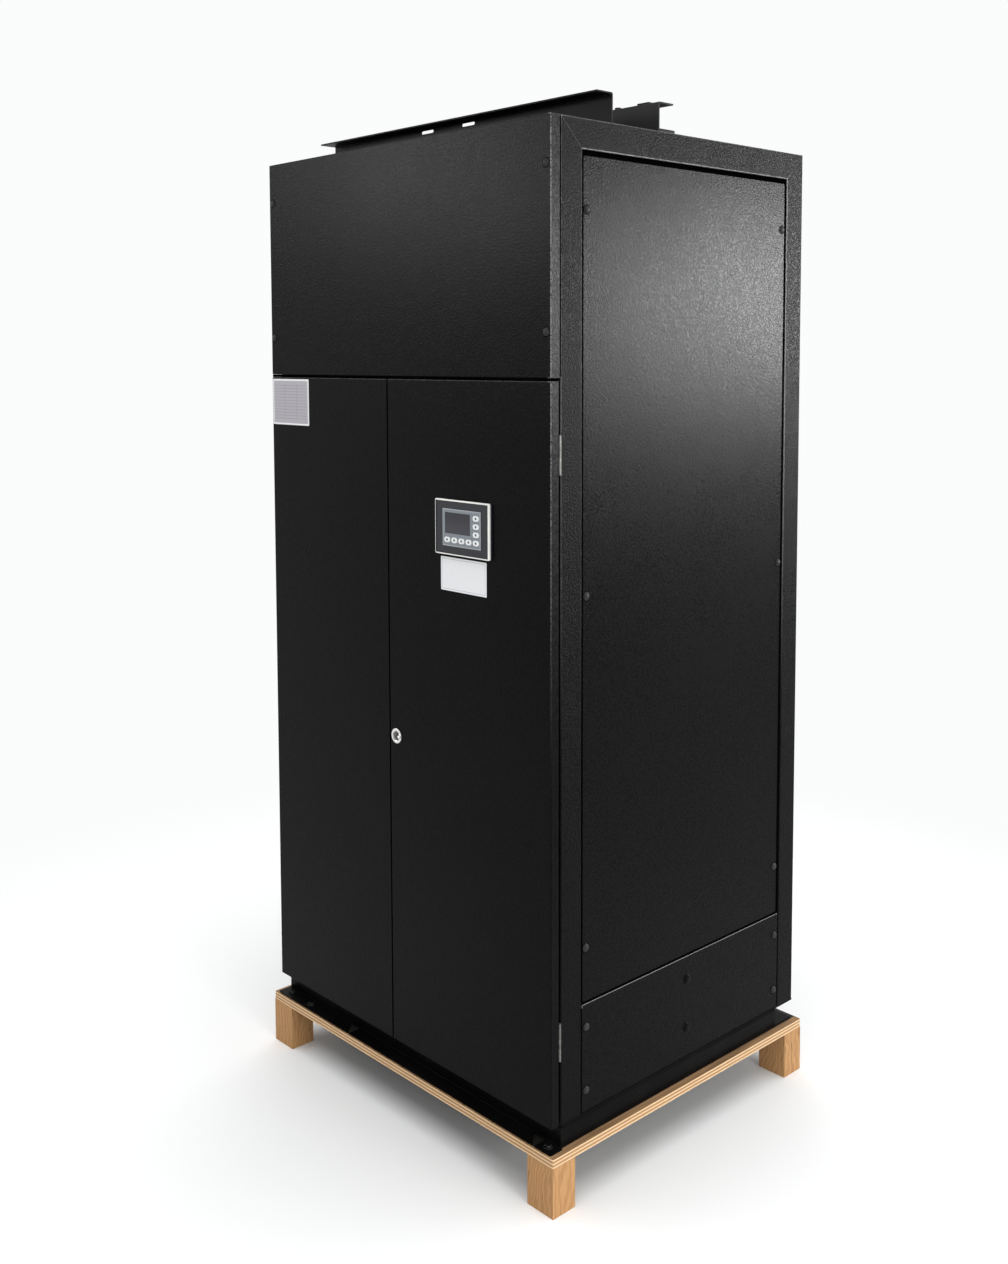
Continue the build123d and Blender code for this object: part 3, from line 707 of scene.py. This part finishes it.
def edgeShadeRing(width, height):
    # Rounded rectangle ring: the outline, then the outline scaled in by the two widths, closed under it.
    edge = [(0.0, -edgeShadeLook["sunk"]), (0.0, edgeShadeLook["height"])]
    outline = roundedSlab(width, height, edgeShadeLook["corner"], edge)
    inward = (1 - 2 * edgeShadeLook["sideWidth"] / width, 1 - 2 * edgeShadeLook["endWidth"] / height, 1.0)
    return np.concatenate([outline, outline[::-1] * inward, outline[:1]])


for side in ("right", "left", "rear"):
    axis = alongAxis(side)
    low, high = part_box(side + "_upper_panel")
    ring = edgeShadeRing(high[axis] - low[axis] + edgeShadeLook["outset"], high.z - low.z + edgeShadeLook["outset"])
    centre = facePlace(side, (low, high), (low[axis] + high[axis]) / 2, (low.z + high.z) / 2)
    closedPiece(side + "PanelEdgeShade", placed(ring, [centre], side), "paintedShade", "cabinet", False)


# Flat dark strips over the joint between the side panels and the base, and strips of painted shade in the gap
# over the panels

stripLook = {
    "height": 0.009,
    "corner": 0.001,
    "thickness": 0.0006,
    "chamfer": 0.0003,
    "shoulder": 0.0002,
    "sunk": 0.0003,
    "endClear": 0.004,
    "lowered": 0.0015,
    "gap": 0.0094,
    "setBack": 0.003,
}
strip = slabProfile(stripLook["thickness"], stripLook["chamfer"], stripLook["shoulder"], -stripLook["sunk"])
for side in ("right", "left"):
    low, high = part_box("base_" + side + "_rail")
    length = high.y - low.y - stripLook["endClear"]
    band = roundedSlab(length, stripLook["height"], stripLook["corner"], strip)
    centre = facePlace(side, (low, high), (low.y + high.y) / 2, high.z - stripLook["lowered"])
    closedPiece(side + "BaseStrip", placed(band, [centre], side), "stripCoat", "cabinet", False)

# painted shade: dark strips set back in the gap over the upper panels
for side in ("right", "left", "rear"):
    axis = alongAxis(side)
    low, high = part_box(side + "_upper_panel")
    outward = Vector(facing[side][2])
    band = roundedSlab(high[axis] - low[axis], stripLook["gap"], stripLook["corner"], strip)
    centre = facePlace(side, (low, high), (low[axis] + high[axis]) / 2, high.z + stripLook["gap"] / 2)
    shade = placed(band, [Vector(centre) - outward * stripLook["setBack"]], side)
    closedPiece(side + "GapShadeStrip", shade, "paintedShade", "cabinet", False)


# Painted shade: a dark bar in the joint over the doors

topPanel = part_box("front_top_panel")
jointLook = {"clear": 0.0002, "depth": 0.0015, "setBack": 0.0008, "inset": 0.001, "turns": 16}


def jointShadeBar():
    # Round bar along X: an ellipse's angle on one parameter, the length on the other, closed at the ends.
    top, bottom = topPanel[0].z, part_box("right_door")[1].z
    angle = np.arange(jointLook["turns"]) * 2 * math.pi / jointLook["turns"]
    half = topPanel[1].x - jointLook["inset"]
    reach = np.array([[-half, 0.0], [-half, 1.0], [half, 1.0], [half, 0.0]])
    along, swell = reach.T[:, :, None]
    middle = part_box("right_door")[0].y + jointLook["setBack"] + jointLook["depth"]
    deep = middle + jointLook["depth"] * swell * np.cos(angle)
    tall = (top + bottom) / 2 + ((top - bottom) / 2 - jointLook["clear"]) * swell * np.sin(angle)
    return np.stack([np.broadcast_to(along, deep.shape), deep, tall], axis=-1)[None]


closedPiece("doorTopJointShade", jointShadeBar(), "paintedShade", "cabinet")


# Painted shade: dark band in the joint between the front top panel and the posts, on both sides

cornerJointShade = {"width": 0.0028, "clear": 0.004}
for side in ("right", "left"):
    height = topPanel[1].z - topPanel[0].z - cornerJointShade["clear"]
    band = roundedSlab(cornerJointShade["width"], height, stripLook["corner"], strip)
    beside = frameBox[0].y - cornerJointShade["width"] / 2
    centre = facePlace(side, topPanel, beside, (topPanel[0].z + topPanel[1].z) / 2)
    joint = placed(band, [centre], side)
    closedPiece(side + "CornerJointShade", joint, "paintedShade", "cabinet", False)


# Flat strip on the left door's edge, which narrows the joint between the doors

overlapLook = {
    "inward": 0.0025,
    "outward": 0.003,
    "clear": 0.004,
    "thickness": 0.0003,
    "chamfer": 0.0002,
    "shoulder": 0.0001,
    "deep": 0.002,
}
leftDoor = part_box("left_door")
overlap = slabProfile(overlapLook["thickness"], overlapLook["chamfer"], overlapLook["shoulder"],
                      -overlapLook["deep"])
band = roundedSlab(overlapLook["inward"] + overlapLook["outward"],
                   leftDoor[1].z - leftDoor[0].z - overlapLook["clear"], stripLook["corner"], overlap)
centre = (leftDoor[1].x + (overlapLook["outward"] - overlapLook["inward"]) / 2, leftDoor[0].y,
          (leftDoor[0].z + leftDoor[1].z) / 2)
edgeStrip = placed(band, [centre], "front")
closedPiece("doorEdgeStrip", edgeStrip, "doorCoat", "left_door_leaf", False)
print("seals and strips made")


# Screws of the front top panel

downFromTop, upFromBottom = screwLook["topPanelInsets"]
heads = screwPlaces("front", topPanel, (topPanel[1].z - downFromTop, topPanel[0].z + upFromBottom))
closedPiece("frontTopScrews", placed(screwHead, heads, "front"), "screwCap", "cabinet")
closedPiece("frontTopScrewShade", placed(paintedShade, heads, "front"), "paintedShade", "cabinet")
print("front screws made")


# Bare rating plate on the left door and bare card under the display

plateLook = {
    "width": 0.142,
    "height": 0.104,
    "fromEdge": 0.003,
    "fromTop": 0.004,
    "corner": 0.002,
    "thickness": 0.0005,
    "chamfer": 0.0003,
    "shoulder": 0.0002,
    "sunk": 0.0001,
    "silver": (0.4, 0.385, 0.42),
    "border": (0.84, 0.85, 0.86),
    "rule": (0.22, 0.2, 0.24),
    "dull": (0.3, 0.3, 0.32),
    "borderWidth": 0.004,
    "tableInset": (0.008, 0.012),
    "rowPitch": 0.0068,
    "rowHalf": 0.0006,
    "columnPitch": 0.047,
    "columnHalf": 0.0007,
    "grainStretch": (40.0, 40.0, 900.0),
}
plateCentre = Vector((
    leftDoor[0].x + plateLook["fromEdge"] + plateLook["width"] / 2,
    leftDoor[0].y,
    leftDoor[1].z - plateLook["fromTop"] - plateLook["height"] / 2,
))


def ruledPlate(place):  # pale foil with a white border and plain ruled rows
    x, _, z = place.axes()
    fromMiddleX = abs(x - plateCentre.x)
    fromMiddleZ = abs(z - plateCentre.z)
    halfWidth = plateLook["width"] / 2
    halfHeight = plateLook["height"] / 2
    insetX, insetZ = plateLook["tableInset"]
    rowPitch, columnPitch = plateLook["rowPitch"], plateLook["columnPitch"]
    border = place.maths("MAXIMUM", fromMiddleX > halfWidth - plateLook["borderWidth"],
                         fromMiddleZ > halfHeight - plateLook["borderWidth"])
    inTable = (fromMiddleX < halfWidth - insetX) * (fromMiddleZ < halfHeight - insetZ)
    row = abs((z - plateCentre.z) % rowPitch - rowPitch / 2) < plateLook["rowHalf"]
    column = abs((x - plateCentre.x) % columnPitch - columnPitch / 2) < plateLook["columnHalf"]
    grain = place.stretched(plateLook["grainStretch"]).noise(1.0, 2.0)
    rules = place.maths("MAXIMUM", row, column) * inTable * 0.75
    foil = border.mixed(plateLook["silver"], plateLook["border"])
    foil = rules.mixed(foil, plateLook["rule"])
    return {
        "Base Color": (grain * 0.12).mixed(foil, plateLook["dull"]),
        "Roughness": 0.34 + 0.12 * grain,
    }


finishes["ruledPlate"] = newFinish("ruledPlate", ruledPlate, {})
thinSlab = slabProfile(plateLook["thickness"], plateLook["chamfer"], plateLook["shoulder"],
                       -plateLook["sunk"])
plate = placed(roundedSlab(plateLook["width"], plateLook["height"], plateLook["corner"], thinSlab),
               [plateCentre], "front")
closedPiece("ratingPlate", plate, "ruledPlate", "left_door_leaf", False)

cardLook = {
    "width": 0.136,
    "height": 0.068,
    "belowDisplay": 0.006,
    "offset": 0.004,
    "corner": 0.002,
    "white": (0.84, 0.85, 0.87),
    "grey": (0.78, 0.79, 0.81),
    "line": (0.34, 0.35, 0.37),
    "lineInset": 0.004,
    "lineHalf": 0.0006,
    "grainScale": 300.0,
}
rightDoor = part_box("right_door")
cardCentre = Vector((
    (displayBox[0].x + displayBox[1].x) / 2 - cardLook["offset"],
    rightDoor[0].y,
    displayBox[0].z - cardLook["belowDisplay"] - cardLook["height"] / 2,
))


def bareCard(place):  # white card with one thin frame line
    x, _, z = place.axes()
    insetX = cardLook["width"] / 2 - abs(x - cardCentre.x)
    insetZ = cardLook["height"] / 2 - abs(z - cardCentre.z)
    inset = place.maths("MINIMUM", insetX, insetZ)
    frameLine = abs(inset - cardLook["lineInset"]) < cardLook["lineHalf"]
    grain = place.noise(cardLook["grainScale"], 3.0)
    card = grain.mixed(cardLook["white"], cardLook["grey"])
    return {
        "Base Color": (frameLine * 0.6).mixed(card, cardLook["line"]),
        "Roughness": 0.4 + 0.15 * grain,
    }


finishes["bareCard"] = newFinish("bareCard", bareCard, {})
card = placed(roundedSlab(cardLook["width"], cardLook["height"], cardLook["corner"], thinSlab),
              [cardCentre], "front")
closedPiece("displayCard", card, "bareCard", "right_door_leaf", False)
print("plate and card made")


# Marks on the keys

keyLook = {
    "radius": 0.0024,
    "columns": 20,
    "height": 0.00025,
    "sunk": 0.0001,
    "halfKey": (0.0085, 0.0054),
    "pitchX": 0.0213,
    "pitchZ": 0.016,
    "row": 5,
    "column": 3,
    "ink": (0.06, 0.065, 0.08),
    "inkPale": (0.11, 0.115, 0.13),
    "grainScale": 1200.0,
}
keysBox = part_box("display_keys")
lastKey = (keysBox[1].x - keyLook["halfKey"][0], keysBox[0].z + keyLook["halfKey"][1])
keyPlaces = [(lastKey[0] - index * keyLook["pitchX"], keysBox[0].y, lastKey[1])
             for index in range(keyLook["row"])]
keyPlaces += [(lastKey[0], keysBox[0].y, lastKey[1] + (index + 1) * keyLook["pitchZ"])
              for index in range(keyLook["column"])]
markProfile = [(0.0, keyLook["height"]), (keyLook["radius"], keyLook["height"]),
               (keyLook["radius"], -keyLook["sunk"]), (0.0, -keyLook["sunk"])]


def keyInk(place):  # dark print
    grain = place.noise(keyLook["grainScale"], 2.0)
    return {
        "Base Color": grain.mixed(keyLook["ink"], keyLook["inkPale"]),
        "Roughness": 0.5 + 0.1 * grain,
    }


finishes["keyInk"] = newFinish("keyInk", keyInk, {})
marks = placed(turned(markProfile, keyLook["columns"]), keyPlaces, "front")
closedPiece("keyMarks", marks, "keyInk", "right_door_leaf")
print("key marks made")


# Bolts through the toe flange, and nuts, clamps and feet of the rear roof rail

boltLook = {
    "acrossCorners": 0.0075,
    "headHeight": 0.004,
    "headShare": 0.82,
    "headChamfer": 0.0009,
    "washerRadius": 0.0095,
    "washerHeight": 0.0012,
    "washerEdge": 0.0004,
    "washerSunk": 0.0002,
    "washerColumns": 30,
    "toeThickness": 0.003,
    "fromFront": 0.017,
    "toePlaces": (-0.43, -0.35, 0.436),
    "nutPlaces": (0.324, -0.324),
    "clampPlaces": (0.396, -0.396),
    "fromRailFront": 0.012,
    "clampSize": (0.031, 0.016),
    "clampHeight": 0.0034,
    "clampCorner": 0.002,
    "footSize": (0.046, 0.047),
    "footHeight": 0.0085,
    "footCorner": 0.003,
    "plateEdge": 0.0005,
    "fromWeb": 0.0035,
}
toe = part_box("base_front_channel")
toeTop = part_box("pallet_board")[1].z + boltLook["toeThickness"]
hexProfile = discProfile(boltLook["acrossCorners"], boltLook["acrossCorners"] * boltLook["headShare"],
                         boltLook["headHeight"], boltLook["headHeight"] - boltLook["headChamfer"], 0.0)
hexHead = turned(hexProfile, 6)
washerProfile = discProfile(boltLook["washerRadius"], boltLook["washerRadius"] - boltLook["washerEdge"],
                            boltLook["washerHeight"], boltLook["washerHeight"] - boltLook["washerEdge"],
                            -boltLook["washerSunk"])
washer = turned(washerProfile, boltLook["washerColumns"])
toePlaces = [(x, toe[0].y + boltLook["fromFront"], toeTop) for x in boltLook["toePlaces"]]
onWashers = [(x, y, z + boltLook["washerHeight"]) for x, y, z in toePlaces]

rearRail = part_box("rear_roof_rail")
railTop = (rearRail[0].y + boltLook["fromRailFront"], rearRail[1].z)
nutPlaces = [(x, *railTop) for x in boltLook["nutPlaces"]]
clampPlaces = [(x, *railTop) for x in boltLook["clampPlaces"]]
footX = rearRail[1].x - boltLook["footSize"][0] / 2
footY = rearRail[0].y + boltLook["fromWeb"] + boltLook["footSize"][1] / 2
footPlaces = [(x, footY, rearRail[0].z) for x in (footX, -footX)]


def steelPlate(size, corner, height):  # chamfered slab that stands on its underside
    profile = slabProfile(height, boltLook["plateEdge"], height - boltLook["plateEdge"], 0.0)
    return roundedSlab(*size, corner, profile)


clamp = steelPlate(boltLook["clampSize"], boltLook["clampCorner"], boltLook["clampHeight"])
foot = steelPlate(boltLook["footSize"], boltLook["footCorner"], boltLook["footHeight"])
fastenings = {
    "toeWashers": (washer, toePlaces),
    "toeBolts": (hexHead, onWashers),
    "railNuts": (hexHead, nutPlaces),
    "railClamps": (clamp, clampPlaces),
    "railFeet": (foot, footPlaces),
}
for name, (shape, places) in fastenings.items():
    closedPiece(name, placed(shape, places, "up"), "railCoat", "cabinet", False)
print("bolts, nuts, clamps and feet made")


# Floor, world and lights

stageLook = {
    "size": 14.0,
    "level": -0.0005,
    "white": (0.962, 0.97, 0.97),
    "floorAlbedo": (0.9, 0.905, 0.905),
    "nearRadius": 0.95,
    "farRadius": 2.3,
    "ambient": 0.52,
}


def pureRays(tree):  # camera, glossy and transmission rays see the white; the rest get the plain light
    rays = tree.nodes.new("ShaderNodeLightPath").outputs
    seen = Wire(tree, rays["Is Camera Ray"])
    for kind in ("Is Glossy Ray", "Is Transmission Ray"):
        seen = seen.maths("MAXIMUM", seen, Wire(tree, rays[kind]))
    return seen


def makeFloor():
    # Flat square grid at the floor level, lit near the object and plain white further out.
    half = stageLook["size"] / 2
    span = np.linspace(-half, half, 3)
    x, y = np.meshgrid(span, span)
    points = np.stack([x, y, np.full_like(x, stageLook["level"])], axis=-1).reshape(-1, 3)
    index = np.arange(9).reshape(3, 3)
    quads = np.stack([index[:-1, :-1], index[:-1, 1:], index[1:, 1:], index[1:, :-1]], axis=-1).reshape(-1, 4)
    mesh = bpy.data.meshes.new("studioFloor")
    mesh.from_pydata(points.tolist(), [], quads.tolist())
    finish = bpy.data.materials.new("studioFloor")
    finish.use_nodes = True
    tree = finish.node_tree
    tree.nodes.clear()
    place = Wire(tree, tree.nodes.new("ShaderNodeTexCoord").outputs["Object"])
    away = place.node("ShaderNodeVectorMath", {"operation": "LENGTH"}, {0: place}, out=1)
    plain = away.between(stageLook["nearRadius"], stageLook["farRadius"])
    lit = place.node("ShaderNodeBsdfDiffuse", None, {"Color": colour(stageLook["floorAlbedo"])})
    white = place.node("ShaderNodeEmission", None, {"Color": colour(stageLook["white"]), "Strength": 1.0})
    surface = place.node("ShaderNodeMixShader", None, {0: plain, 1: lit, 2: white})
    output = tree.nodes.new("ShaderNodeOutputMaterial")
    tree.links.new(surface.socket, output.inputs["Surface"])
    mesh.materials.append(finish)
    floor = bpy.data.objects.new("studioFloor", mesh)
    scene.collection.objects.link(floor)


def makeWorld():
    world = bpy.data.worlds.new("studioWorld")
    world.use_nodes = True
    scene.world = world
    tree = world.node_tree
    background = tree.nodes["Background"]
    background.inputs["Color"].default_value = colour(stageLook["white"])
    ambient = stageLook["ambient"]
    strength = pureRays(tree) * (1 - ambient) + ambient
    tree.links.new(strength.socket, background.inputs["Strength"])


lampLook = {  # place, point lit, width, height, power in watts, the rays that see it
    "sideBox": ((2.35, 2.75, 1.9), (0.455, 0.3, 1.65), 1.1, 0.7, 190.0, "visible_glossy"),
    "frontBox": ((-2.3, -2.6, 2.5), (0.1, -0.36, 2.0), 1.0, 0.5, 36.0, "visible_glossy"),
    "overhead": ((0.0, 0.0, 4.8), (0.0, 0.0, 0.0), 7.5, 7.5, 335.0, "visible_diffuse"),
    "rightFill": ((3.6, -0.3, 0.95), (0.47, 0.0, 0.2), 2.0, 1.2, 66.0, "visible_diffuse"),
}


def makeLamps():
    for name, (place, target, width, height, power, seen) in lampLook.items():
        lamp = bpy.data.lights.new(name, "AREA")
        lamp.shape = "RECTANGLE"
        lamp.size = width
        lamp.size_y = height
        lamp.energy = power
        holder = bpy.data.objects.new(name, lamp)
        holder.location = place
        for rays in ("visible_glossy", "visible_diffuse"):
            setattr(holder, rays, rays == seen)
        holder.rotation_euler = (Vector(target) - Vector(place)).to_track_quat("-Z", "Y").to_euler()
        scene.collection.objects.link(holder)


# Camera

cameraLook = {
    "fromDoorCorner": (1.7411, -1.7363, 1.4638),
    "yaw": -0.8216,
    "pitch": -0.0765,
    "roll": -0.003,
    "imageSize": (1008, 1264),
    "focalPixels": 1350.75,
    "sightPixel": (504, 460.4),
    "sensor": 36.0,
}


def makeCamera():
    yaw, pitch, roll = cameraLook["yaw"], cameraLook["pitch"], cameraLook["roll"]
    forward = Vector((math.sin(yaw) * math.cos(pitch), math.cos(yaw) * math.cos(pitch), math.sin(pitch)))
    level = Vector((math.cos(yaw), -math.sin(yaw), 0.0))
    upright = level.cross(forward)
    across = level * math.cos(roll) + upright * math.sin(roll)
    up = upright * math.cos(roll) - level * math.sin(roll)
    width, height = cameraLook["imageSize"]
    lens = bpy.data.cameras.new("photoCamera")
    lens.sensor_width = cameraLook["sensor"]
    lens.lens = cameraLook["focalPixels"] * cameraLook["sensor"] / height
    lens.shift_x = (width / 2 - cameraLook["sightPixel"][0]) / height
    lens.shift_y = (cameraLook["sightPixel"][1] - height / 2) / height
    holder = bpy.data.objects.new("photoCamera", lens)
    turn = Matrix((across, up, -forward)).transposed().to_4x4()
    doorCorner = Vector((rightDoor[1].x, rightDoor[0].y, rightDoor[0].z))
    holder.matrix_world = Matrix.Translation(doorCorner + Vector(cameraLook["fromDoorCorner"])) @ turn
    scene.collection.objects.link(holder)
    scene.camera = holder


makeFloor()
makeWorld()
makeLamps()
makeCamera()
scene.view_settings.view_transform = "Standard"
print("stage, lamps and camera made")
